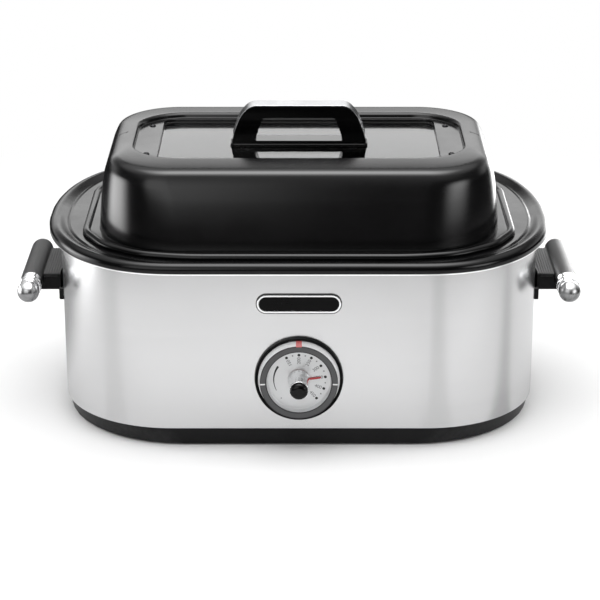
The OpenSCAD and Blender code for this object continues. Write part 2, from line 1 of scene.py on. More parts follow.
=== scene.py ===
import math
import bmesh
import bpy
from mathutils import Matrix, Vector


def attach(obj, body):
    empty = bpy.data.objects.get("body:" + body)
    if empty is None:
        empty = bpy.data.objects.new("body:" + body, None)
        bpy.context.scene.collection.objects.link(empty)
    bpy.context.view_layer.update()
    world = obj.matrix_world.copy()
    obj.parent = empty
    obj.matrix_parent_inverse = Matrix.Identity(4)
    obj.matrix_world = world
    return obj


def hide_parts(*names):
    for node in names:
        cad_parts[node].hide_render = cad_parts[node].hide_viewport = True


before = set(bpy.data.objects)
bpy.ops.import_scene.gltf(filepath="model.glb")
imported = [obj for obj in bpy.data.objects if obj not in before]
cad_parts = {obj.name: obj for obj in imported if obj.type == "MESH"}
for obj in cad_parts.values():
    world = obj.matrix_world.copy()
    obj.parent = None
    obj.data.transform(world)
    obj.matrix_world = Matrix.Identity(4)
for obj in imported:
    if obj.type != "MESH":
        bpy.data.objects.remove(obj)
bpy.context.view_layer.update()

MM = 0.001
BACK = 9.0  # the pieces are laid out about the sleeve's middle, then moved back by this
WINDOW_BACK = 2.5  # the window's middle lies this far behind the lid's
SLEEVE_BOX = (252.5, 160.5, 120.0)  # the sleeve's half width, half depth and corner
FACE = -SLEEVE_BOX[1]  # front of the sleeve
DIAL_Z = 77.0
DIAL_STEP = 27.7  # degrees between two settings
BADGE_Z = 159.0
GRIP_X, GRIP_Z = 285.8, 143.0  # the side grips' middle lines
RIM_Z = 203.5
LID_Z = 290.6
FIELD_Z = LID_Z - 5.2  # the sunk field that carries the screws
GLASS_Z = 281.3


def added(name, data):
    o = bpy.data.objects.new(name, data)
    bpy.context.collection.objects.link(o)
    return o


# ---------------------------------------------------------------- camera
eye = bpy.data.cameras.new("camera")
eye.lens = 126.22
eye.sensor_width = 36
eye.clip_end = 50
camera = added("camera", eye)
camera.location = (0.0011, -2.1534, 0.9214)
camera.rotation_euler = (math.radians(69.251), 0, 0)
bpy.context.scene.camera = camera
bpy.context.scene.view_settings.view_transform = "Standard"


# ---------------------------------------------------------------- outlines, in millimetres
def rounded_box(hw, hd, r, per=32):
    out = []
    for q, (sx, sy) in enumerate([(1, 1), (-1, 1), (-1, -1), (1, -1)]):
        for i in range(per):
            a = math.radians(90 * (q + i / (per - 1)))
            out.append((sx * (hw - r) + r * math.cos(a), sy * (hd - r) + r * math.sin(a)))
    return out


def bend(before, corner, after, reach, steps):
    k = Vector(corner)
    a = k + (Vector(before) - k).normalized() * reach
    b = k + (Vector(after) - k).normalized() * reach
    return [tuple(a.lerp(k, t).lerp(k.lerp(b, t), t)) for t in
            (i / (steps - 1) for i in range(steps))]


def rounded_line(points, reach, steps=6):
    out = []
    for i, p in enumerate(points):
        if reach[i] and 0 < i < len(points) - 1:
            out += bend(points[i - 1], p, points[i + 1], reach[i], steps)
        else:
            out.append(tuple(p))
    return out


def rounded_shape(points, reach, steps=6):
    n = len(points)
    out = []
    for i, p in enumerate(points):
        out += bend(points[i - 1], p, points[(i + 1) % n], reach[i], steps) if reach[i] else [tuple(p)]
    return out


def window_box(hw, hd, r):
    """Outlines about the window's middle."""
    return [(x, y + WINDOW_BACK) for x, y in rounded_box(hw, hd, r)]


# corners of a quarter of the pan's edge
PAN_CORNER = [Vector(p) for p in ((228, 72), (205, 115), (166, 143), (118, 153.5))]


def pan_edge(out_by, steps=8):
    """The pan's edge with its cut corners, pushed outwards."""
    k = PAN_CORNER
    normals = [Vector((1, 0))]
    for a, b in zip(k, k[1:]):
        d = (b - a).normalized()
        normals.append(Vector((d.y, -d.x)))
    normals.append(Vector((0, 1)))
    c = [p + (m + n) * out_by / (1 + m.dot(n)) for p, m, n in zip(k, normals, normals[1:])]
    c = [Vector((c[0].x, 0))] + c + [Vector((0, k[-1].y + out_by))]
    quarter = []
    for i, reach in enumerate((12, 14, 18, 22)):
        quarter += bend(c[i], c[i + 1], c[i + 2], reach, steps)
    left = [(-x, y) for x, y in reversed(quarter)]
    return quarter + left + [(-x, -y) for x, y in quarter] + [(-x, -y) for x, y in left]


# spots on a quarter of the rim, as shares of its half width and half depth
RIM_HALF = (268, 177.2)
RIM_BACK = ((1, .079), (.9955, .186), (.985, .31), (.968, .432), (.942, .559), (.905, .683),
            (.8545, .803), (.791, .896), (.7145, .961), (.6305, 1.0017), (.541, 1.0214), (.444, 1.0271))
RIM_FRONT = ((1, .068), (.9955, .164), (.9835, .288), (.9655, .395), (.94, .499), (.905, .607),
             (.858, .7156), (.7985, .8115), (.72, .904), (.636, .9616), (.545, .992), (.444, 1))


def rim_edge(out_by, deeper=1.0, per=32):
    """The rim's outline, fuller at the back, pushed outwards: a smooth curve through each quarter's spots."""
    line = list(RIM_BACK) + [(-x, y) for x, y in reversed(RIM_BACK)]
    line += [(-x, -y) for x, y in RIM_FRONT] + [(x, -y) for x, y in reversed(RIM_FRONT)]
    k = [Vector((x * RIM_HALF[0], y * RIM_HALF[1])) for x, y in line]
    n = len(RIM_BACK)
    out = []
    for q in range(4):
        for i in range(per):
            t = n * q + (n - 1) * i / (per - 1)
            j = min(int(t), n * q + n - 2)
            t -= j
            a, b, c, d = (k[(j + m) % len(k)] for m in (-1, 0, 1, 2))
            if j == n * q:
                a = b - (b - a).normalized() * (c - b).length
            if j == n * q + n - 2:
                d = c + (d - c).normalized() * (c - b).length
            slope, curve, twist = c - a, a * 2 - b * 5 + c * 4 - d, b * 3 - a - c * 3 + d
            spot = b + slope * t / 2 + curve * t * t / 2 + twist * t ** 3 / 2
            way = (slope / 2 + curve * t + twist * 1.5 * t * t).normalized()
            spot += Vector((way.y, -way.x)) * out_by
            out.append((spot.x, spot.y * deeper))
    return out


def eased(stops, steps):
    """Rings between stops (half width, half depth, corner, height, set back), on one smooth curve."""
    k = [Vector(tuple(p) + (0.0,) * (5 - len(p))) for p in stops]
    k = [k[0] * 2 - k[1]] + k + [k[-1] * 2 - k[-2]]
    out = []
    for a, b, c, d in zip(k, k[1:], k[2:], k[3:]):
        near = min(1.0, (c - b).length / (b - a).length)
        far = min(1.0, (c - b).length / (d - c).length)
        m, n = ((b - a) * near + (c - b)) / 2, ((c - b) + (d - c) * far) / 2
        for i in range(steps):
            t = i / steps
            p = b * (1 + 2 * t) * (1 - t) ** 2 + m * t * (1 - t) ** 2
            p += c * t * t * (3 - 2 * t) - n * t * t * (1 - t)
            out.append(([(x, y + p[4]) for x, y in rounded_box(*p[:3])], p[3], 0))
    return out


# ---------------------------------------------------------------- mesh work
def first_loop(bm, spots):
    verts = bmesh.ops.create_circle(bm, segments=len(spots), radius=1)["verts"]
    for v, spot in zip(verts, spots):
        v.co = spot
    return verts


def edges_round(verts):
    inside = set(verts)
    return list({e for v in verts for e in v.link_edges if e.other_vert(v) in inside})


def pull_loop(bm, verts, spots):
    """Extrudes a loop and sets each new corner at its own spot."""
    made = bmesh.ops.extrude_edge_only(bm, edges=edges_round(verts))["geom"]
    fresh = {g for g in made if isinstance(g, bmesh.types.BMVert)}
    out = []
    for v, spot in zip(verts, spots):
        new = next(e.other_vert(v) for e in v.link_edges if e.other_vert(v) in fresh)
        new.co = spot
        out.append(new)
    return out


def walls(bm, rows, rounding=None, closed=False, caps=True):
    """Walls through rows of spots, each row pulled out of the one before."""
    rounding = list(rounding or [0] * len(rows))
    loops = [first_loop(bm, rows[0])]
    for row in rows[1:]:
        loops.append(pull_loop(bm, loops[-1], row))
    if closed:
        last = pull_loop(bm, loops[-1], rows[0])
        bmesh.ops.weld_verts(bm, targetmap=dict(zip(last, loops[0])))
    elif caps:
        for end in (loops[0], loops[-1]):
            bmesh.ops.contextual_create(bm, geom=edges_round(end))
    for r in sorted({r for r in rounding if r}, reverse=True):
        edges = []
        for verts, size in zip(loops, rounding):
            if size == r:
                edges += edges_round([v for v in verts if v.is_valid])
        round_edges(bm, edges, r, 3)


def skin(bm, rings, closed=False):
    """Walls over rings (outline, height, rounding); with a height of None each spot keeps its own."""
    walls(bm, [[p if z is None else (p[0], p[1], z) for p in outline] for outline, z, _ in rings],
          [r for _, _, r in rings], closed)


def round_edges(bm, edges, r, segments=3):
    bmesh.ops.bevel(bm, geom=edges, offset=r, offset_type="OFFSET", segments=segments,
                    profile=0.5, affect="EDGES", clamp_overlap=True, material=-1)


def sharp_edges(bm, angle):
    limit = math.radians(angle)
    return [e for e in bm.edges if e.is_manifold and e.calc_face_angle(0) > limit]


def turned(bm, profile, steps=96):
    """Spins (radius, distance in front) points about the +Z axis; closed if both ends are at radius 0."""
    verts = [bm.verts.new((r, 0, d)) for r, d in profile]
    edges = [bm.edges.new(pair) for pair in zip(verts, verts[1:])]
    bmesh.ops.spin(bm, geom=verts + edges, cent=(0, 0, 0), axis=(0, 0, 1), dvec=(0, 0, 0),
                   angle=math.tau, steps=steps, use_merge=True)
    bmesh.ops.remove_doubles(bm, verts=bm.verts, dist=0.001)


def ring_turned(bm, profile, steps=96):
    turned(bm, list(profile) + [profile[0]], steps)


def block(bm, low, high, r=0.0, segments=2):
    size = [b - a for a, b in zip(low, high)]
    middle = [(a + b) / 2 for a, b in zip(low, high)]
    made = bmesh.ops.create_cube(bm, size=1)["verts"]
    bmesh.ops.scale(bm, vec=size, verts=made)
    bmesh.ops.translate(bm, vec=middle, verts=made)
    if r:
        round_edges(bm, list({e for v in made for e in v.link_edges}), r, segments)


def plate_of(bm, outline, near, far, place, r=0.0):
    """A plate cut to an outline, from near to far, with its edges rounded."""
    walls(bm, [[place(p, near) for p in outline], [place(p, far) for p in outline]], [r, r])


def to_front(bm, x=0.0, y=FACE, z=DIAL_Z):
    """Stands turned work up on the front: its +Z points to -Y."""
    bmesh.ops.rotate(bm, cent=(0, 0, 0), matrix=Matrix.Rotation(math.radians(90), 3, "X"), verts=bm.verts)
    bmesh.ops.translate(bm, vec=(x, y, z), verts=bm.verts)


def join_in(bm, part):
    """Adds a part's mesh to the work and frees the part."""
    keep = bpy.data.meshes.new("tmp")
    part.to_mesh(keep)
    part.free()
    bm.from_mesh(keep)
    bpy.data.meshes.remove(keep)


def mirror_over(bm):
    made = bmesh.ops.duplicate(bm, geom=bm.verts[:] + bm.edges[:] + bm.faces[:])["geom"]
    bmesh.ops.scale(bm, vec=(-1, 1, 1), verts=[g for g in made if isinstance(g, bmesh.types.BMVert)])


def piece(name, bm, material, body, nodes=(), sharp=32):
    bmesh.ops.remove_doubles(bm, verts=bm.verts, dist=0.0005)
    bmesh.ops.recalc_face_normals(bm, faces=bm.faces)
    bmesh.ops.translate(bm, vec=(0, BACK, 0), verts=bm.verts)
    bmesh.ops.scale(bm, vec=(MM, MM, MM), verts=bm.verts)
    for f in bm.faces:
        f.smooth = True
    for e in sharp_edges(bm, sharp):
        e.smooth = False
    mesh = bpy.data.meshes.new(name)
    bm.to_mesh(mesh)
    bm.free()
    mesh.materials.append(material)
    o = added(name, mesh)
    o.modifiers.new("even_shading", "WEIGHTED_NORMAL").keep_sharp = True
    o.data = bpy.data.meshes.new_from_object(o.evaluated_get(bpy.context.evaluated_depsgraph_get()))
    o.modifiers.clear()
    bpy.data.meshes.remove(mesh)
    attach(o, body)
    if nodes:
        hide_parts(*nodes)
    return o


def refined(solid, material, body, sharp=28):
    """A smoothly shaded copy of a solid whose shape is already right."""
    bm = bmesh.new()
    bm.from_mesh(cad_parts[solid].data)
    bmesh.ops.remove_doubles(bm, verts=bm.verts, dist=1e-6)
    bmesh.ops.scale(bm, vec=(1000, 1000, 1000), verts=bm.verts)
    bmesh.ops.translate(bm, vec=(0, -BACK, 0), verts=bm.verts)
    return piece(solid + "_part", bm, material, body, (solid,), sharp)


# ---------------------------------------------------------------- shared effects
def new_group(name, inputs, *outputs):
    tree = bpy.data.node_groups.new(name, "ShaderNodeTree")
    for label, value in inputs:
        s = tree.interface.new_socket(label, in_out="INPUT", socket_type="NodeSocketFloat")
        s.default_value = value
    for label in outputs:
        tree.interface.new_socket(label, in_out="OUTPUT", socket_type="NodeSocketFloat")
    return tree, tree.nodes.new("NodeGroupInput").outputs, tree.nodes.new("NodeGroupOutput").inputs


def node(tree, kind, links=(), **values):
    n = tree.nodes.new(kind)
    for key, value in values.items():
        if hasattr(n, key):
            setattr(n, key, value)
        else:
            n.inputs[key.replace("_", " ")].default_value = value
    for socket, source in links:
        tree.links.new(source, n.inputs[socket])
    return n


def put(tree, socket, value):
    """Sets a socket, or links it where the value is another node's output."""
    if isinstance(value, bpy.types.NodeSocket):
        tree.links.new(value, socket)
    else:
        socket.default_value = value


def sums(tree, operation, a, b=0.0):
    n = node(tree, "ShaderNodeMath", operation=operation)
    put(tree, n.inputs[0], a)
    put(tree, n.inputs[1], b)
    return n.outputs[0]


def here(tree):
    return node(tree, "ShaderNodeTexCoord").outputs["Object"]


def scaled(tree, spot, by):
    n = node(tree, "ShaderNodeVectorMath", [(0, spot)], operation="MULTIPLY")
    put(tree, n.inputs[1], by)
    return n.outputs[0]


def length(tree, spot):
    return node(tree, "ShaderNodeVectorMath", [(0, spot)], operation="LENGTH").outputs["Value"]


def noise(tree, spot, scale, **values):
    n = node(tree, "ShaderNodeTexNoise", [("Vector", spot)], **values)
    put(tree, n.inputs["Scale"], scale)
    return n.outputs["Fac"]


def ranged(tree, value, **values):
    return node(tree, "ShaderNodeMapRange", [("Value", value)], **values).outputs["Result"]


def reach(tree, value, start, end):
    """0 below start, 1 above end, soft in between."""
    return ranged(tree, value, interpolation_type="SMOOTHSTEP", From_Min=start, From_Max=end)


def mixed(tree, share, a, b, **values):
    """A colour between two, each another node's output or (red, green, blue)."""
    n = node(tree, "ShaderNodeMix", [("Factor", share)], data_type="RGBA", **values)
    for socket, colour in ((6, a), (7, b)):
        put(tree, n.inputs[socket], colour + (1.0,) if isinstance(colour, tuple) else colour)
    return n.outputs[2]


def build_smudge():
    """Uneven handling marks: a soft cloud with finer specks, from 0 to 1."""
    tree, a, z = new_group("handling_marks", [("Size", 18.0), ("Contrast", 1.0)], "Marks")
    cloud = noise(tree, here(tree), a["Size"], Detail=6.0, Roughness=0.62)
    cloud = ranged(tree, cloud, From_Min=0.35, From_Max=0.7)
    tree.links.new(sums(tree, "MULTIPLY", cloud, a["Contrast"]), z["Marks"])
    return tree


def build_lines():
    """Fine lines stretched along a direction, as height and as a mask."""
    tree, a, z = new_group("fine_lines", [("X", 3.0), ("Y", 3.0), ("Z", 900.0)], "Height", "Streaks")
    scale = node(tree, "ShaderNodeCombineXYZ", [(axis, a[axis]) for axis in "XYZ"])
    spot = scaled(tree, here(tree), scale.outputs[0])
    tree.links.new(noise(tree, spot, 1.0, Detail=3.0, Roughness=0.7), z["Height"])
    wide = scaled(tree, spot, (1.3, 1.3, 0.15))
    tree.links.new(noise(tree, wide, 1.0, Detail=2.0), z["Streaks"])
    return tree


def build_grain():
    """The fine texture of a mould, as height."""
    tree, a, z = new_group("mould_grain", [("Size", 1400.0)], "Height")
    spot = here(tree)
    cells = node(tree, "ShaderNodeTexVoronoi", [("Vector", spot), ("Scale", a["Size"])])
    fine = noise(tree, spot, a["Size"], Detail=2.0)
    tree.links.new(sums(tree, "ADD", cells.outputs["Distance"], fine), z["Height"])
    return tree


def build_flow():
    """The gentle unevenness of enamel and thick paint, as height."""
    tree, a, z = new_group("flow_of_enamel", [("Size", 160.0)], "Height")
    tree.links.new(noise(tree, here(tree), a["Size"], Detail=1.5), z["Height"])
    return tree


def build_edge_wear():
    """Lighter, rubbed edges, from 0 to 1."""
    tree, a, z = new_group("rubbed_edges", [("Start", 0.53), ("Strength", 0.5)], "Wear")
    point = node(tree, "ShaderNodeNewGeometry").outputs["Pointiness"]
    edge = node(tree, "ShaderNodeMapRange", [("Value", point), ("From Min", a["Start"])], From_Max=0.62)
    part = sums(tree, "MULTIPLY", edge.outputs[0], noise(tree, here(tree), 260.0, Detail=4.0))
    tree.links.new(sums(tree, "MULTIPLY", part, a["Strength"]), z["Wear"])
    return tree


def build_dust_and_top_light():
    """A thin film of dust on faces that look up, from 0 to 1; on the grip balls the same mask is a painted
    top light.
    """
    tree, a, z = new_group("dust_and_painted_top_light", [("Strength", 1.0)], "Facing_Up")
    facing = node(tree, "ShaderNodeSeparateXYZ", [(0, node(tree, "ShaderNodeNewGeometry").outputs["Normal"])])
    film = reach(tree, facing.outputs["Z"], 0.1, 1.0)
    tree.links.new(sums(tree, "MULTIPLY", film, a["Strength"]), z["Facing_Up"])
    return tree


MARKS = build_smudge()
LINES = build_lines()
GRAIN = build_grain()
FLOW = build_flow()
RUBBED = build_edge_wear()
DUST_AND_TOP_LIGHT = build_dust_and_top_light()


def placed(tree, group, **values):
    g = tree.nodes.new("ShaderNodeGroup")
    g.node_tree = group
    for key, value in values.items():
        g.inputs[key].default_value = value
    return g


def new_material(name):
    m = bpy.data.materials.new(name)
    m.use_nodes = True
    return m, m.node_tree, m.node_tree.nodes["Principled BSDF"]


def finish(name, colour, roughness=0.4, metallic=0.0, spread=0.08, marks=18.0, relief=None,
           relief_size=None, relief_depth=0.0002, relief_strength=0.2, wear=0.0,
           wear_colour=(0.3, 0.3, 0.3), tint=0.12, dust_and_top_light=0.0, top_colour=(0.5, 0.5, 0.5), **shader):
    """A material: a base colour that varies a little, roughness broken up by handling, a fine relief."""
    m, tree, bsdf = new_material(name)
    bsdf.inputs["Metallic"].default_value = metallic
    for key, value in shader.items():
        bsdf.inputs[key.replace("_", " ")].default_value = value
    cloud = placed(tree, MARKS, Size=marks).outputs["Marks"]
    rough = ranged(tree, cloud, To_Min=max(0.02, roughness - spread / 2), To_Max=roughness + spread / 2)
    tree.links.new(rough, bsdf.inputs["Roughness"])
    pale = tuple(min(1.0, c * (1 + tint) + tint * 0.01) for c in colour)
    shade = mixed(tree, cloud, colour, pale)
    if wear:
        shade = mixed(tree, placed(tree, RUBBED, Strength=wear).outputs["Wear"], shade, wear_colour)
    if dust_and_top_light:
        shade = mixed(tree, placed(tree, DUST_AND_TOP_LIGHT, Strength=dust_and_top_light).outputs["Facing_Up"], shade, top_colour)
    tree.links.new(shade, bsdf.inputs["Base Color"])
    if relief is not None:
        if relief_size and not isinstance(relief_size, dict):
            relief_size = {"Size": relief_size}
        height = placed(tree, relief, **(relief_size or {})).outputs["Height"]
        bump = node(tree, "ShaderNodeBump", [("Height", height)], Strength=relief_strength,
                    Distance=relief_depth)
        tree.links.new(bump.outputs[0], bsdf.inputs["Normal"])
    return m


def steel_sheet(name, colour, roughness, lines, contrast=0.06):
    """Brushed steel: fine lines in its relief and, faintly, in its colour."""
    m = finish(name, colour, roughness, 1.0, spread=0.04, marks=7.0, tint=0.02, relief=LINES,
               relief_size=lines, relief_depth=0.00004, relief_strength=0.12)
    tree = m.node_tree
    base = tree.nodes["Principled BSDF"].inputs["Base Color"]
    streaks = placed(tree, LINES, **lines).outputs["Streaks"]
    dark = mixed(tree, streaks, base.links[0].from_socket, (1 - contrast,) * 3, blend_type="MULTIPLY")
    tree.links.new(dark, base)
    return m


ROUND = {"X": 3.0, "Y": 3.0, "Z": 900.0}  # lines that run round the sleeve
GRIPWARD = {"X": 650.0, "Y": 9.0, "Z": 650.0}  # lines that run along the side grips
SLEEVE_STEEL = steel_sheet("brushed_sleeve", (0.68, 0.68, 0.685), 0.25, ROUND)
BRIGHT_SHEET = steel_sheet("bright_sheet", (0.6, 0.61, 0.62), 0.35, {"X": 60.0, "Y": 60.0, "Z": 400.0})
ENAMEL = finish("black_enamel", (0.0015, 0.0015, 0.0017), 0.16, spread=0.06, relief=FLOW, relief_size=150.0,
                relief_depth=0.0003, relief_strength=0.1, wear=0.12, Specular_IOR_Level=0.3)
LID_BLACK = finish("lid_black", (0.002, 0.002, 0.0022), 0.2, spread=0.04, relief=FLOW, relief_size=220.0,
                   relief_depth=0.0002, relief_strength=0.08, wear=0.08)
BASE_BLACK = finish("base_plastic", (0.005, 0.005, 0.0055), 0.42, relief=GRAIN, relief_depth=0.00012,
                    relief_strength=0.2, wear=0.12, Specular_IOR_Level=0.15)
GRIP_BLACK = finish("grip_plastic", (0.0018, 0.0018, 0.002), 0.36, relief=LINES, relief_size=GRIPWARD,
                    relief_depth=0.0004, relief_strength=0.5, wear=0.2, dust_and_top_light=0.13, Specular_IOR_Level=0.08)
GLOSS_BLACK = finish("gloss_black", (0.0015, 0.0015, 0.0017), 0.1, spread=0.05, relief=FLOW,
                     relief_size=120.0, relief_strength=0.06, wear=0.08, Specular_IOR_Level=0.2)
DEEP_BLACK = finish("deep_black", (0.0015, 0.0015, 0.0017), 0.3, relief=FLOW, relief_size=120.0,
                    relief_strength=0.05, Specular_IOR_Level=0.1)
CHROME = finish("chrome", (0.85, 0.855, 0.86), 0.18, 1.0, spread=0.04, tint=0.02, marks=40.0)
POLISHED = finish("polished_edge", (0.95, 0.95, 0.955), 0.16, 1.0, spread=0.04, tint=0.02, marks=30.0)
# Painted light: the grip balls are dark chrome painted pale on faces that look up, so their tops read as lit
# and their undersides as shaded.
BALL_CHROME = finish("ball_chrome", (0.3, 0.302, 0.305), 0.28, 1.0, spread=0.04, tint=0.02, marks=40.0,
                     dust_and_top_light=1.0, top_colour=(0.92, 0.925, 0.93))
SATIN_CHROME = finish("satin_chrome", (0.5, 0.505, 0.515), 0.24, 1.0, spread=0.06, tint=0.02, marks=30.0)
RING_WHITE = finish("ring_white", (0.98, 0.98, 0.985), 0.3, 0.0, spread=0.06, tint=0.02, marks=60.0)
ZINC = finish("zinc_steel", (0.5, 0.51, 0.53), 0.32, 1.0, spread=0.15, marks=90.0, relief=GRAIN,
              relief_size=700.0, relief_depth=0.0001)
DARK_STEEL = finish("dark_steel", (0.03, 0.03, 0.032), 0.3, 1.0, spread=0.1, marks=120.0)
WIRE = finish("plated_wire", (0.72, 0.73, 0.75), 0.14, 1.0, spread=0.08, marks=50.0, tint=0.03)
DIAL_SILVER = finish("dial_silver", (0.66, 0.665, 0.67), 0.4, 0.6, spread=0.08, tint=0.03, marks=45.0)
DIAL_GREY = finish("dial_grey", (0.075, 0.075, 0.078), 0.38, 0.2, spread=0.1, relief=GRAIN,
                   relief_size=900.0, relief_depth=0.0001)
RED_LENS = finish("red_lens", (0.8, 0.2, 0.2), 0.2, spread=0.04, Coat_Weight=0.3)
RED_PAINT = finish("red_paint", (0.42, 0.03, 0.035), 0.45)
PRINT_AND_SHADE_BLACK = finish("print_and_painted_shade_black", (0.012, 0.012, 0.013), 0.45)
PRINT_DARK = finish("printed_dark", (0.09, 0.09, 0.092), 0.5)
PRINT_GREY = finish("printed_grey", (0.22, 0.22, 0.225), 0.5)
WHITE_TICK = finish("white_tick", (0.8, 0.8, 0.8), 0.45)
RUBBER = finish("foot_rubber", (0.02, 0.02, 0.02), 0.7, relief=GRAIN, relief_size=600.0, relief_depth=0.0002)
SILICONE = finish("silicone", (0.05, 0.05, 0.05), 0.5, relief=GRAIN, relief_size=500.0)
CERAMIC = finish("white_ceramic", (0.72, 0.69, 0.61), 0.5, relief=GRAIN, relief_size=300.0)
BRASS = finish("brass", (0.72, 0.52, 0.22), 0.3, 1.0, spread=0.12, marks=80.0)
FIBRE = finish("fibre_blanket", (0.66, 0.62, 0.5), 0.95, relief=GRAIN, relief_size=250.0,
               relief_depth=0.001, relief_strength=0.6, tint=0.25)
HEATER = finish("heater_strip", (0.42, 0.42, 0.42), 0.5, 0.8, relief=GRAIN, relief_size=500.0)
BRAID = finish("wire_sleeve", (0.32, 0.06, 0.04), 0.75, relief=GRAIN, relief_size=1500.0)
LABEL = finish("plain_label", (0.55, 0.55, 0.56), 0.45, 0.3)
FRAME_DARK = finish("dark_frame", (0.04, 0.04, 0.042), 0.35, relief=GRAIN, relief_size=900.0)
GLASS = finish("window_glass", (0.86, 0.88, 0.88), 0.03, spread=0.02, marks=9.0, Transmission_Weight=1.0,
               IOR=1.33)

# ---------------------------------------------------------------- sleeve and base
bm = bmesh.new()
outer, inner = rounded_box(*SLEEVE_BOX), rounded_box(*(v - 1 for v in SLEEVE_BOX))
skin(bm, [(outer, 20, 0.3), (outer, 110, 0), (outer, 201, 0.3), (inner, 201, 0), (inner, 20, 0)], closed=True)
piece("steel_sleeve", bm, SLEEVE_STEEL, "housing", ("outer_shell",))
refined("shell_seam", SLEEVE_STEEL, "housing")
refined("base_tray", BASE_BLACK, "housing")


# ---------------------------------------------------------------- rim, well and pan
def eased_share(value, start, end):
    t = min(1.0, max(0.0, (value - start) / (end - start)))
    return t * t * (3 - 2 * t)


def rim_ring(front, ends, deeper=1.0, line=False):
    """A ring of the rim: (set in, height) along the front and back, and round the flatter ends.
    The raised line sinks away at the front."""
    spots = []
    for (x, y), (u, v) in zip(rim_edge(-front[0], deeper), rim_edge(-ends[0], deeper)):
        s = eased_share(abs(x), 150, 240)
        high = front[1] + (ends[1] - front[1]) * s
        if line:
            high *= eased_share(y, -150, -90)
        spots.append((x + (u - x) * s, y + (v - y) * s, RIM_Z + high))
    return spots, None, 0


bm = bmesh.new()
z = RIM_Z
roll = [rim_ring((0.2, -6.9), (0.2, -6.9)), rim_ring((0, -6.4), (0, -6.4))]
for i in range(9):
    a = math.radians(11.25 * i)
    high = -3 + 6.5 * math.sin(a)
    roll.append(rim_ring((6.5 - 6.5 * math.cos(a), high), (8 - 8 * math.cos(a), high)))
roll += [rim_ring((7.8, 3.1), (10.5, 3.2)), rim_ring((9.2, 1.9), (13, 2.3)),
         rim_ring((10.6, 0.8), (15.5, 1.0)), rim_ring((12.5, 0), (17.6, 0.3))]
for spot in ((19.2, 0), (20.2, 0.5), (21.2, 0.9), (22.2, 0.5), (23.2, 0)):
    roll.append(rim_ring(spot, spot, 1.02, True))
skin(bm, [(rim_edge(-1.2), z - 7, 0)] + roll + [
    (pan_edge(-6), z, 0), (pan_edge(-7), z - 0.8, 0), (pan_edge(-6), z - 1.6, 0),
    (rim_edge(-22.8, 1.02), z - 1.6, 0), (rim_edge(-11.5), z - 1.6, 0),
    (rim_edge(-5), z - 0.6, 0), (rim_edge(-2.4), z - 2, 0), (rim_edge(-1.9), z - 6.4, 0)], closed=True)
piece("rolled_rim", bm, ENAMEL, "housing", ("rim_frame",))

bm = bmesh.new()
skin(bm, [(rim_edge(-1.8), z - 7.1, 0), (rim_edge(-0.5), z - 7.05, 0), (rim_edge(-0.75), z - 8.4, 0),
          (rim_edge(-1.8), z - 8.5, 0)], closed=True)
piece("rim_bright_line", bm, POLISHED, "housing", ())

bm = bmesh.new()
z = RIM_Z - 1.7
skin(bm, [
    (rounded_box(196, 121, 58), 46.2, 0), (rounded_box(203, 128, 64), 47.8, 1.5),
    (rounded_box(207, 132, 66), 53, 2.5), (pan_edge(-8.4), z - 3.4, 1.2), (pan_edge(-6.5), z - 1.1, 0.6),
    (pan_edge(1), z - 0.9, 0), (pan_edge(1), z, 0), (pan_edge(-7.2), z, 0.8), (pan_edge(-9.4), z - 3, 1.2),
    (rounded_box(206, 131, 65.2), 53.4, 2.5), (rounded_box(202.2, 127.2, 63.2), 48.8, 1.5),
    (rounded_box(196, 121, 58), 47.2, 0)])
piece("heating_well", bm, BRIGHT_SHEET, "housing", ("liner_well",))

bm = bmesh.new()
z, f, t = RIM_Z, 55.4, 1.2  # rim, pan floor and sheet
bead = []
for i in range(12):
    a = math.radians(15 * i)
    bead.append((pan_edge(4.4 * math.cos(a) - 4.4), z + 1.4 + 4.4 * math.sin(a), 0))
skin(bm, [
    (rounded_box(191, 117, 56), f - t, 0), (rounded_box(196.6, 122.6, 60), f - t + 1.4, 1.5),
    (rounded_box(200, 126, 63), f + 4, 2.5), (pan_edge(-14), z - 12, 3), (pan_edge(-13), z - 0.4, 0.4),
    (pan_edge(-8.5), z + 0.7, 0.3), (pan_edge(-6.5), z + 0.1, 0), (pan_edge(-1), z + 0.1, 0),
    *bead, (pan_edge(-13.6), z + 1.9, 0.4), (pan_edge(-14.2), z + 0.6, 0.4), (pan_edge(-15.2), z - 12, 3),
    (rounded_box(198.8, 124.8, 62), f + 4.6, 2.5), (rounded_box(195.8, 121.8, 59.6), f + 1.4, 1.5),
    (rounded_box(191, 117, 56), f, 0)])
piece("roasting_pan", bm, ENAMEL, "pan", ("insert_pan",))
refined("roasting_rack", WIRE, "rack")

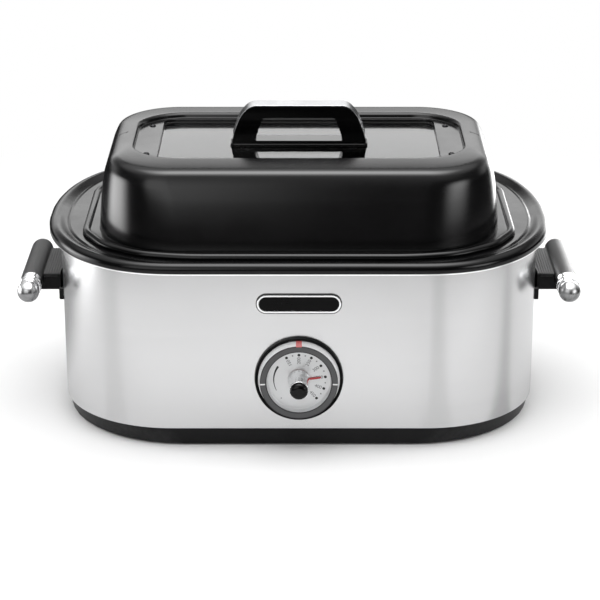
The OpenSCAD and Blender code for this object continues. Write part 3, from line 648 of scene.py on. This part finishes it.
# ---------------------------------------------------------------- lid
bm = bmesh.new()
z, r, c = LID_Z, FIELD_Z, GLASS_Z + 1
wall_and_crown = eased([
    (210.2, 138.6, 89, 211), (208.2, 136.4, 84, 235), (205.4, 133.4, 78, 258),
    (202.6, 130.6, 72, z - 18.6), (200.2, 128.3, 67.4, z - 12.6), (197.5, 125.6, 65.2, z - 7),
    (195.8, 123.9, 63.9, z - 4.7), (193.9, 121.9, 62.5, z - 3.2), (191.4, 119.4, 60.6, z - 2.1),
    (188.5, 116.2, 58, z - 1.4), (184, 103, 54, z - 0.7), (176.6, 87, 52, z - 0.1, WINDOW_BACK),
    (175.2, 85.1, 51.2, z - 0.5, WINDOW_BACK)], 5)
skin(bm, [
    (pan_edge(-8.4), 205.9, 0), (pan_edge(-8.2), 206.2, 0), (pan_edge(-8.8), 206.5, 0),
    (pan_edge(-11.4), 206.6, 0), (rounded_box(210.8, 139.2, 90), 206.9, 0),
    *wall_and_crown,
    (window_box(175.2, 85.1, 51.2), z - 0.5, 0.5), (window_box(174, 83.9, 50), z - 2.2, 0.5),
    (window_box(173.2, 83.1, 49.5), r, 0.4), (window_box(148, 77.5, 12), r, 0.3),
    (window_box(148, 77.5, 12), c, 0), (window_box(149.5, 79, 13.5), c, 0),
    (window_box(149.5, 79, 13.5), r - 1.5, 0), (window_box(174.7, 84.6, 51), r - 1.5, 0),
    (window_box(175.5, 85.4, 51.5), z - 3.3, 0), (rounded_box(184, 102, 54), z - 2.3, 0),
    (rounded_box(188.5, 116.2, 58), z - 3, 0), (rounded_box(192.4, 120.4, 61), z - 4.4, 0),
    (rounded_box(195.4, 123.5, 63.6), z - 7, 0), (rounded_box(197.4, 125.6, 65.2), z - 10.6, 0),
    (rounded_box(201.1, 129.1, 70.5), z - 18.8, 0), (rounded_box(203.9, 131.9, 76.5), 257.8, 0),
    (rounded_box(206.7, 134.9, 82.5), 234.8, 0), (rounded_box(209, 137.5, 88.5), 209.3, 0),
    (pan_edge(-17.3), 206.8, 0), (pan_edge(-17.3), 200, 0), (pan_edge(-15.9), 200, 0),
    (pan_edge(-15.9), 205.9, 0)], closed=True)
piece("domed_lid", bm, LID_BLACK, "lid", ("lid_shell",), 40)

bm = bmesh.new()
for side in (-1, 1):
    tick = [(side * 192.7, 7.8), (side * 183.5, 13.8), (side * 183.5, 15.2), (side * 192.7, 9.2)]
    plate_of(bm, tick, -1.2, 0.1,
             lambda p, h: (p[0], p[1], LID_Z + h - 0.3 - (abs(p[0]) - 183.5) * 0.2), 0.25)
piece("lid_grip_ticks", bm, LID_BLACK, "lid", ())

bm = bmesh.new()
skin(bm, [(window_box(154, 83.5, 18), GLASS_Z - 4, 0.5), (window_box(154, 83.5, 18), GLASS_Z, 0.5)])
piece("window_pane", bm, GLASS, "lid", ("lid_glass",))
refined("lid_gasket", SILICONE, "lid")
refined("lid_frame", FRAME_DARK, "lid")

bm = bmesh.new()
for x in (-159.5, 159.5):
    for y in (-53, 53):
        screw = bmesh.new()
        turned(screw, [(0, 1.3), (1.2, 1.2), (1.2, 0.7), (1.9, 0.7), (2.0, 1.35), (2.7, 1.2), (3.2, 0.7),
                       (3.4, 0.1), (3.4, 0), (0, 0)], 32)
        bmesh.ops.translate(screw, vec=(x, y, FIELD_Z), verts=screw.verts)
        join_in(bm, screw)
piece("window_screws", bm, DARK_STEEL, "lid", ("lid_screws",))

# (sideways, up) corners of the handle's loop, seen from the front
HANDLE = [(-71.2, 284.3), (-71.6, 287.3), (-61.2, 314.4), (-51, 324.5), (51, 324.5), (61.2, 314.4),
          (71.6, 287.3), (71.2, 284.3)]


def along_depth(p, y):
    return (p[0], y, p[1])


bm = bmesh.new()
outer = rounded_shape(HANDLE, [0.0, 2.5, 7.0, 7.2, 7.2, 7.0, 2.5, 0.0], 8)
inner = rounded_shape([(-47, 287.4), (-38.5, 312.4), (38.5, 312.4), (47, 287.4)], [3, 4, 4, 3], 10)
loops = []
for line in (outer, inner):
    front_loop = first_loop(bm, [(x, -11, z) for x, z in line])
    back_loop = pull_loop(bm, front_loop, [(x, 11, z) for x, z in line])
    loops.append((edges_round(front_loop), edges_round(back_loop)))
for side in (0, 1):
    bmesh.ops.triangle_fill(bm, edges=loops[0][side] + loops[1][side], use_beauty=True)
round_edges(bm, [e for pair in loops for edges in pair for e in edges], 1.4, 4)
piece("lid_handle_loop", bm, GLOSS_BLACK, "lid", ("lid_handle",))

bm = bmesh.new()
skin(bm, [(rounded_box(73, 13, 6), GLASS_Z, 0), (rounded_box(73, 13, 6), GLASS_Z + 3, 0.9)])
piece("lid_handle_foot", bm, GLOSS_BLACK, "lid", ("lid_handle_base",))


def strip_line(o):
    """The handle's outer line, this far out."""
    half = [(68.86 + o, 294.5), (61.2 + o, 314.4), (51 + o * 0.6, 324.5 + o)]
    return rounded_line([(-x, z) for x, z in half] + half[::-1], [0, 7.0, 7.2, 7.2, 7.0, 0], 10)


bm = bmesh.new()
plate_of(bm, strip_line(1.5) + strip_line(0.03)[::-1], -10.6, 10.6, along_depth, 0.45)
piece("lid_handle_strip", bm, SATIN_CHROME, "lid", ("lid_handle_trim",))
refined("lid_handle_screws", ZINC, "lid")
refined("lid_handle_washers", SILICONE, "lid")


# ---------------------------------------------------------------- dial and badge
def front_piece(name, profile, material, body, nodes, steps=128, ring=True):
    """A turned piece on the front: its profile is (radius, distance in front of the sleeve)."""
    work = bmesh.new()
    (ring_turned if ring else turned)(work, profile, steps)
    to_front(work)
    return piece(name, work, material, body, nodes)


back_ring = [(9, 0), (46, 0), (45.5, 4.2), (44.9, 5), (44, 4.7), (42.4, 3), (9, 3)]
front_piece("dial_back_ring", rounded_shape(back_ring, [0, 0, 0.5, 0.5, 0.5, 0, 0], 4), DEEP_BLACK,
            "housing", ("dial_base",))
bright_ring = [(39.2, 3), (42.3, 3), (42.3, 3.6), (40.2, 12.7), (39.2, 12.7)]
front_piece("dial_bright_ring", rounded_shape(bright_ring, [0, 0.1, 0.3, 0.2, 0], 3), RING_WHITE,
            "housing", ("dial_bezel",))
dish = [(34, 3), (39.1, 3), (39.1, 12.6), (40.0, 12.7), (40.05, 13.1), (39.4, 13.2), (36.8, 12.9),
        (34.4, 12.7), (34, 12.4)]
front_piece("dial_dark_dish", rounded_shape(dish, [0, 0, 0.1, 0.1, 0.2, 0.2, 0.6, 0.2, 0.2], 3), DIAL_GREY,
            "housing", ("dial_annulus",))
# Painted shade: thin black rings in the gaps at the dark dish's outer and inner edges, where the ring, dish
# and face meet.
for place, line in (("outer", [(39.3, 12.9), (40.1, 12.7), (40.15, 13.15), (39.3, 13.26)]),
                    ("inner", [(33.4, 12.1), (34.3, 12.4), (34.3, 12.85), (33.4, 12.6)])):
    front_piece("dial_" + place + "_line", line, PRINT_AND_SHADE_BLACK, "housing", ())
face = [(7, 3), (33.75, 3), (33.75, 12.2), (33.3, 12.2), (32.9, 6.2), (32, 5), (7, 5)]
front_piece("dial_face", rounded_shape(face, [0, 0, 0.1, 0.1, 0.6, 0.6, 0], 3), DIAL_SILVER, "housing",
            ("dial_plate",))


def on_dial(clockwise, radius, lift=5.0):
    a = math.radians(clockwise)
    return Vector((radius * math.sin(a), FACE - lift, DIAL_Z + radius * math.cos(a)))


def printed(bm, clockwise, radius, outline, lift=5.0, thick=0.06):
    """A printed mark: outline is (right, outward) about its place on the dial face."""
    turn = Matrix.Rotation(math.radians(clockwise), 3, "Y")
    spot = on_dial(clockwise, radius, lift)
    plate_of(bm, outline, 0.02, -thick, lambda p, d: spot + turn @ Vector((p[0], d, p[1])))


def dot(r, n=20):
    return [(r * math.cos(math.tau * i / n), r * math.sin(math.tau * i / n)) for i in range(n)]


black = bmesh.new()
grey = bmesh.new()
for k in range(-1, 6):
    printed(black, DIAL_STEP * k, 27.4, dot(1.5))
for k in range(-1, 5):
    printed(grey, DIAL_STEP * (k + 0.5), 27.4, dot(0.85, 14))
printed(grey, -138.3, 27.4, dot(0.7, 14))
# the curved mark on the left, which widens towards its top end
mark = [[], []]
for i in range(31):
    t = i / 30
    a = math.radians(-117 + 62 * t)
    for side, line in zip((1, -1), mark):
        rad = 26 + side * (0.3 + 0.8 * t ** 1.3)
        line.append((rad * math.sin(a), rad * math.cos(a)))
plate_of(black, mark[0] + mark[1][::-1], 0.02, -0.06,
         lambda p, d: Vector((p[0], FACE - 5 + d, DIAL_Z + p[1])))
# Flat white ticks at 3 and 9 o'clock on the dark dish.
white = bmesh.new()
for side in (-1, 1):
    tick = [(side * 34.8, -2.7), (side * 40, -2.7), (side * 40, -1.3), (side * 34.8, -1.3)]
    plate_of(white, tick, 0.1, -0.06,
             lambda p, d: Vector((p[0], FACE - 12.8 - (abs(p[0]) - 34.8) * 0.1 + d, DIAL_Z + p[1])))
piece("dial_marks_white", white, WHITE_TICK, "housing", (), 20)
piece("dial_marks_black", black, PRINT_AND_SHADE_BLACK, "housing", (), 20)
piece("dial_marks_grey", grey, PRINT_GREY, "housing", (), 20)


def numeral(text, clockwise, radius, size, material, name):
    """A number that reads outwards: it runs along the radius, its up side anticlockwise."""
    curve = bpy.data.curves.new(name, "FONT")
    curve.body = text
    curve.align_x = "CENTER"
    curve.align_y = "CENTER"
    curve.size = size
    curve.extrude = 0.03
    holder = added(name, curve)
    mesh = bpy.data.meshes.new_from_object(holder)
    bpy.data.objects.remove(holder)
    work = bmesh.new()
    work.from_mesh(mesh)
    bpy.data.meshes.remove(mesh)
    upright = Matrix.Rotation(math.radians(90), 3, "X")
    turn = Matrix.Rotation(math.radians(clockwise - 90), 3, "Y") @ upright
    bmesh.ops.transform(work, matrix=turn.to_4x4(), verts=work.verts)
    bmesh.ops.translate(work, vec=on_dial(clockwise, radius, 5.04), verts=work.verts)
    return piece(name, work, material, "housing", (), 20)


for k in range(7):
    number = str(150 + 50 * k)
    numeral(number, DIAL_STEP * (k - 1), 21.2, 5.0, PRINT_DARK, "dial_number_" + number)

# red lens in the bright ring
bm = bmesh.new()
lens = [(39.6, 3.2), (42.5, 3.2), (42.5, 3.8), (40.5, 12.9), (40.2, 13.4), (39.6, 13.4)]
walls(bm, [[(x, FACE - d, DIAL_Z + math.sqrt(rad * rad - x * x)) for rad, d in lens]
           for x in (-3, -1.5, 0, 1.5, 3)], [0.3, 0, 0, 0, 0.3])
piece("ready_lens", bm, RED_LENS, "housing", ("indicator_lens",))

stalk = [(0, 6.4), (11.6, 6.4), (11.6, 7.4), (10.6, 9.4), (10.2, 12), (10.2, 33.2), (9.8, 34.2),
         (9.25, 34.2), (9.25, 31.5), (0, 31.5)]
front_piece("control_stalk", rounded_line(stalk, [0, 0.3, 0.5, 1.2, 1.5, 0.8, 0.4, 0.3, 0, 0], 5), CHROME,
            "control", ("knob_stalk",), 96, False)
cap = [(0, 31.6), (9.1, 31.6), (9.1, 35.2), (8.2, 37.6), (5.4, 39.1), (0, 39.5)]
front_piece("control_cap", rounded_line(cap, [0, 0.2, 1.2, 1.5, 1.5, 0], 6), GLOSS_BLACK, "control",
            ("knob_cap",), 96, False)
bm = bmesh.new()
turned(bm, [(0, 5.4), (10.4, 5.4), (10.4, 6.3), (0, 6.3)], 64)
to_front(bm)
hand = [(-1.2, 0), (1.2, 0), (0.9, 12.0), (0, 13.2), (-0.9, 12.0)]
turn = Matrix.Rotation(math.radians(83.1), 3, "Y")
centre = Vector((0, FACE, DIAL_Z))
plate_of(bm, hand, -5.4, -6.2, lambda p, d: centre + turn @ Vector((p[0], d, p[1] + 10)), 0.12)
piece("control_pointer", bm, RED_PAINT, "control", ("knob_pointer",))
refined("knob_shaft", ZINC, "control")


def pill(length, height, steps=24):
    r = height / 2
    out = []
    for side in (1, -1):
        for i in range(steps + 1):
            a = math.radians(-90 + 180 * i / steps)
            out.append((side * (length / 2 - r + r * math.cos(a)), side * r * math.sin(a)))
    return out


def on_badge(p, y):
    return (p[0], y, BADGE_Z + p[1])


bm = bmesh.new()
rows = [(pill(86.2, 19.7), FACE), (pill(86.2, 19.7), FACE - 1.8), (pill(85.4, 18.9), FACE - 2.2),
        (pill(82.4, 15.9), FACE - 2.2), (pill(81.6, 15.1), FACE - 1.7), (pill(81.6, 15.1), FACE)]
walls(bm, [[on_badge(p, y) for p in line] for line, y in rows], closed=True)
piece("badge_bright_frame", bm, CHROME, "housing", ("badge_frame",))
bm = bmesh.new()
plate_of(bm, pill(81.4, 14.9), FACE - 1.0, FACE - 1.9, on_badge, 0.3)
piece("badge_field", bm, DEEP_BLACK, "housing", ("badge_plate",))
bm = bmesh.new()
rows = [(pill(88, 21.6), FACE - 0.02), (pill(88, 21.6), FACE - 1.2), (pill(86.3, 19.9), FACE - 1.7),
        (pill(86.3, 19.9), FACE - 0.02)]
walls(bm, [[on_badge(p, y) for p in line] for line, y in rows], closed=True)
piece("badge_dark_line", bm, PRINT_AND_SHADE_BLACK, "housing", ())


# ---------------------------------------------------------------- side grips
def along_grip(work):
    """Lays turned work down along the left grip: its +Z points to -Y."""
    to_front(work, x=-GRIP_X, z=GRIP_Z, y=0)


def grip_body():
    work = bmesh.new()
    profile = [(0, -64)] + [(12 * math.sin(math.radians(a)), -52 - 12 * math.cos(math.radians(a)))
                            for a in range(8, 91, 8)] + [(12, -51), (12, 54.4), (11.6, 55), (0, 55)]
    turned(work, profile, 72)
    along_grip(work)
    return work


def web_body():
    """The web, its ribs, the curved sleeve plate and the hook under its front end."""
    work = bmesh.new()
    block(work, (-GRIP_X, -38.5, 128.8), (-254.0, 46, 147.0), 1.4, 3)
    for i in range(8):
        x = -275.4 + i * 2.6
        block(work, (x, -37.4, 146.6), (x + 1.2, 44.5, 147.6), 0.3, 2)
    block(work, (-273.5, -39.2, 143.6), (-259.5, -37.5, 144.6), 0.3, 2)
    half_width, half_depth, corner = SLEEVE_BOX
    shape = []
    for i in range(17):
        y = -46 + 92 * i / 16
        round_by = max(0.0, abs(y) - (half_depth - corner))
        shape.append((half_width - corner + math.sqrt(corner ** 2 - round_by ** 2), y))
    outline = [(-(x + 0.05), y) for x, y in shape] + [(-(x + 3.1), y) for x, y in reversed(shape)]
    plate_of(work, outline, 124, 152, lambda p, h: (p[0], p[1], h), 0.9)
    block(work, (-257.4, -48.6, 121), (-252.2, -41.5, 134), 1.2, 3)
    return work


for side, name in ((1, "left"), (-1, "right")):
    bm = grip_body()
    join_in(bm, web_body())
    if side < 0:
        bmesh.ops.scale(bm, vec=(-1, 1, 1), verts=bm.verts)
    piece("grip_" + name, bm, GRIP_BLACK, "housing", ("handle_" + name,), 30)

bm = bmesh.new()
collar = [(4.2, 55), (12, 55), (12, 65.2), (10.9, 66.2), (10.9, 67.6), (11.8, 68.4), (11.8, 72.2),
          (11, 73.2), (4.2, 73.2)]
ring_turned(bm, rounded_shape(collar, [0, 0.5, 0.8, 0.4, 0.4, 0.6, 0.6, 0.5, 0], 4), 72)
along_grip(bm)
mirror_over(bm)
piece("grip_collars", bm, CHROME, "housing", ("handle_sleeves",))

bm = bmesh.new()
profile = [(0, 70.52)] + [(11.48 * math.sin(math.radians(a)), 82 - 11.48 * math.cos(math.radians(a)))
                          for a in range(6, 175, 6)] + [(0, 93.48)]
turned(bm, profile, 72)
along_grip(bm)
mirror_over(bm)
piece("grip_balls", bm, BALL_CHROME, "housing", ("handle_balls",))

# ---------------------------------------------------------------- pieces that keep their solid's shape
for kept, material, slot in (
        ("rubber_feet", RUBBER, "foot_rubber"), ("rating_plate", LABEL, "plain_label"),
        ("tie_rods", ZINC, "zinc_steel"), ("tie_spacers", ZINC, "zinc_steel"),
        ("tie_nuts", ZINC, "zinc_steel"), ("heat_shield", BRIGHT_SHEET, "bright_sheet"),
        ("seam_rivets", ZINC, "zinc_steel"),
        ("insulation_blanket", FIBRE, "fibre_blanket"), ("heater_band_low", HEATER, "heater_strip"),
        ("heater_band_high", HEATER, "heater_strip"), ("heater_terminals", CERAMIC, "white_ceramic"),
        ("thermal_fuse", ZINC, "zinc_steel"), ("terminal_block", CERAMIC, "white_ceramic"),
        ("terminal_screws", BRASS, "brass"), ("wiring", BRAID, "wire_sleeve"),
        ("cord_gland", BASE_BLACK, "base_plastic"), ("thermostat_body", CERAMIC, "white_ceramic"),
        ("thermostat_bracket", ZINC, "zinc_steel"), ("thermostat_screws", ZINC, "zinc_steel"),
        ("indicator_lamp", CERAMIC, "white_ceramic"), ("handle_rods", ZINC, "zinc_steel"),
        ("handle_screws", ZINC, "zinc_steel")):
    refined(kept, material, "housing")


# ---------------------------------------------------------------- floor and light
def aim(place, target):
    return (Vector(target) - Vector(place)).to_track_quat("-Z", "Y").to_euler()


def staged(name, bm, material, place=(0, 0, 0), turn=(0, 0, 0)):
    """A piece of the studio, not of the part."""
    mesh = bpy.data.meshes.new(name)
    bm.to_mesh(mesh)
    bm.free()
    mesh.materials.append(material)
    o = added(name, mesh)
    o.location = place
    o.rotation_euler = turn
    return o


def for_polish_only(o):
    o.visible_camera = o.visible_diffuse = o.visible_shadow = o.visible_transmission = False


def floor_finish():
    """Pale floor, which fades into the white around it. Polished pieces see it darker far out in front and
    behind the part, as if dark cards lay there, and a little darker close in front of it: a painted shadow."""
    m, tree, bsdf = new_material("studio_floor")
    bsdf.inputs["Roughness"].default_value = 0.9
    bsdf.inputs["Specular IOR Level"].default_value = 0.1
    spot = here(tree)
    across = node(tree, "ShaderNodeSeparateXYZ", [(0, spot)]).outputs
    away = length(tree, spot)
    ray = node(tree, "ShaderNodeLightPath").outputs
    cards_and_painted_shadow = reach(tree, away, 0.725, 0.942)
    ahead = reach(tree, sums(tree, "MULTIPLY", across["Y"], -1.0), 0.2, 0.4)
    # Painted shadow: to polished pieces the floor is darker close in front of the part and behind it.
    cards_and_painted_shadow = sums(tree, "MAXIMUM", cards_and_painted_shadow, sums(tree, "MULTIPLY", sums(tree, "SUBTRACT", 1.0, ahead), 0.14))
    depth = sums(tree, "SUBTRACT", 0.68, sums(tree, "MULTIPLY", reach(tree, across["X"], -0.1, 0.1), 0.5))
    behind = sums(tree, "MULTIPLY", reach(tree, across["Y"], -0.08, 0.2), depth)
    seen = sums(tree, "MULTIPLY", sums(tree, "MAXIMUM", cards_and_painted_shadow, behind), ray["Is Glossy Ray"])
    tree.links.new(mixed(tree, seen, (0.95,) * 3, (0.01,) * 3), bsdf.inputs["Base Color"])
    far = sums(tree, "MULTIPLY", reach(tree, away, 0.55, 1.0), ray["Is Camera Ray"])
    white = node(tree, "ShaderNodeEmission")
    both = node(tree, "ShaderNodeMixShader", [(0, far), (1, bsdf.outputs[0]), (2, white.outputs[0])])
    tree.links.new(both.outputs[0], tree.nodes["Material Output"].inputs["Surface"])
    return m


bm = bmesh.new()
bmesh.ops.create_grid(bm, x_segments=1, y_segments=1, size=12)
staged("studio_floor", bm, floor_finish())


def softbox(place, wide, high, watts):
    """An area lamp that lights the part and the floor, but isn't mirrored."""
    lamp = bpy.data.lights.new("softbox", "AREA")
    lamp.shape = "RECTANGLE"
    lamp.size = wide
    lamp.size_y = high
    lamp.energy = watts
    o = added("softbox", lamp)
    o.location = place
    o.rotation_euler = aim(place, (0, 0, 0.1))
    o.visible_camera = o.visible_glossy = False


softbox((0, -0.2, 2.4), 2.2, 1.2, 19.5)
softbox((0, -3.4, 1.1), 4.0, 1.1, 5.2)
for side in (-1, 1):
    softbox((side * 1.6, 0.3, 1.1), 0.8, 0.8, 10)


def glow_panel(name, place, target, wide, high, strength, core=0.3):
    """A lit panel with soft edges that only shines in polished surfaces."""
    bm = bmesh.new()
    bmesh.ops.create_grid(bm, x_segments=1, y_segments=1, size=1)
    bmesh.ops.scale(bm, vec=(wide / 2, high / 2, 1), verts=bm.verts)
    m, tree, bsdf = new_material(name)
    tree.nodes.remove(bsdf)
    across = node(tree, "ShaderNodeSeparateXYZ", [(0, here(tree))]).outputs
    level = strength
    for axis, size in (("X", wide), ("Y", high)):
        out_by = sums(tree, "MULTIPLY", sums(tree, "ABSOLUTE", across[axis]), 2 / size)
        level = sums(tree, "MULTIPLY", level, sums(tree, "SUBTRACT", 1.0, reach(tree, out_by, core, 1.0)))
    light = node(tree, "ShaderNodeEmission", [("Strength", level)])
    clear = node(tree, "ShaderNodeBsdfTransparent")
    both = node(tree, "ShaderNodeAddShader", [(0, light.outputs[0]), (1, clear.outputs[0])])
    tree.links.new(both.outputs[0], tree.nodes["Material Output"].inputs["Surface"])
    for_polish_only(staged(name, bm, m, place, aim(place, target)))


glow_panel("back_glow", (0, 3.2, 1.25), (0, 0, 0.28), 5.0, 0.66, 1.75, 0.25)
glow_panel("top_glow", (0, -0.25, 2.4), (0, 0, 0.1), 3.8, 3.6, 8.0, 0.0)
glow_panel("front_glow", (-0.75, -1.6, 0.75), (-0.15, 0, 0.75), 1.85, 1.5, 1.5, 0.5)
glow_panel("front_right_glow", (0.85, -0.6, 0.3), (0.17, -0.07, 0.3), 0.85, 0.62, 4.0, 0.1)
glow_panel("left_glow", (-0.725, 0.02, 0.17), (-0.19, -0.04, 0.17), 0.62, 0.44, 6.5, 0.2)
glow_panel("right_glow", (0.45, 0.46, 0.17), (0.19, -0.04, 0.17), 0.42, 0.44, 8.0, 0.1)


def floor_card(name, grey, spots):
    """A grey card on the floor that only polished pieces see."""
    bm = bmesh.new()
    bm.faces.new([bm.verts.new((x, y, 0.001)) for x, y in spots])
    m, tree, bsdf = new_material(name)
    bsdf.inputs["Base Color"].default_value = (grey, grey, grey, 1)
    bsdf.inputs["Roughness"].default_value = 0.9
    for_polish_only(staged(name, bm, m))


floor_card("left_card", 0.7, [(-0.215, -0.175), (-0.63, -0.41), (-0.68, -0.26), (-0.243, -0.137)])
floor_card("right_card", 0.45, [(0.226, -0.145), (0.73, -0.13), (0.73, -0.03), (0.25, -0.1)])
floor_card("front_card", 0.68, [(0.128, -0.185), (0.205, -0.7), (0.335, -0.7), (0.185, -0.185)])

# ---------------------------------------------------------------- room
world = bpy.data.worlds.new("studio")
bpy.context.scene.world = world
world.use_nodes = True
tree = world.node_tree
tree.nodes.clear()
out = tree.nodes.new("ShaderNodeOutputWorld")
way = node(tree, "ShaderNodeSeparateXYZ", [(0, node(tree, "ShaderNodeTexCoord").outputs["Generated"])])
up, back = way.outputs["Z"], way.outputs["Y"]


def back_wall(low, high):
    """The room's back wall, between two heights."""
    band = sums(tree, "MULTIPLY", reach(tree, up, *low), sums(tree, "SUBTRACT", 1.0, reach(tree, up, *high)))
    return sums(tree, "MULTIPLY", band, reach(tree, back, 0.15, 0.55))


# what polished and clear pieces see: a dark room, paler behind and overhead
room = 0.06
for part, level in ((back_wall((0.15, 0.25), (0.34, 0.52)), 0.4), (back_wall((0.04, 0.12), (0.2, 0.3)), 0.6),
                    (reach(tree, up, 0.42, 0.75), 0.9)):
    room = sums(tree, "ADD", room, sums(tree, "MULTIPLY", part, level))
# the soft light that fills the shadows
fill = sums(tree, "ADD", 0.2, sums(tree, "MULTIPLY", reach(tree, up, 0.0, 0.8), 0.6))
ray = node(tree, "ShaderNodeLightPath").outputs
polished = sums(tree, "MAXIMUM", ray["Is Glossy Ray"], ray["Is Transmission Ray"])
strength = node(tree, "ShaderNodeMix", [(0, polished), (2, fill), (3, room)])
plain = node(tree, "ShaderNodeBackground", [("Strength", strength.outputs[0])], Color=(1, 1, 1, 1))
white = node(tree, "ShaderNodeBackground", Color=(1, 1, 1, 1), Strength=1.0)
pick = node(tree, "ShaderNodeMixShader", [(0, ray["Is Camera Ray"]), (1, plain.outputs[0]),
                                          (2, white.outputs[0])])
tree.links.new(pick.outputs[0], out.inputs["Surface"])
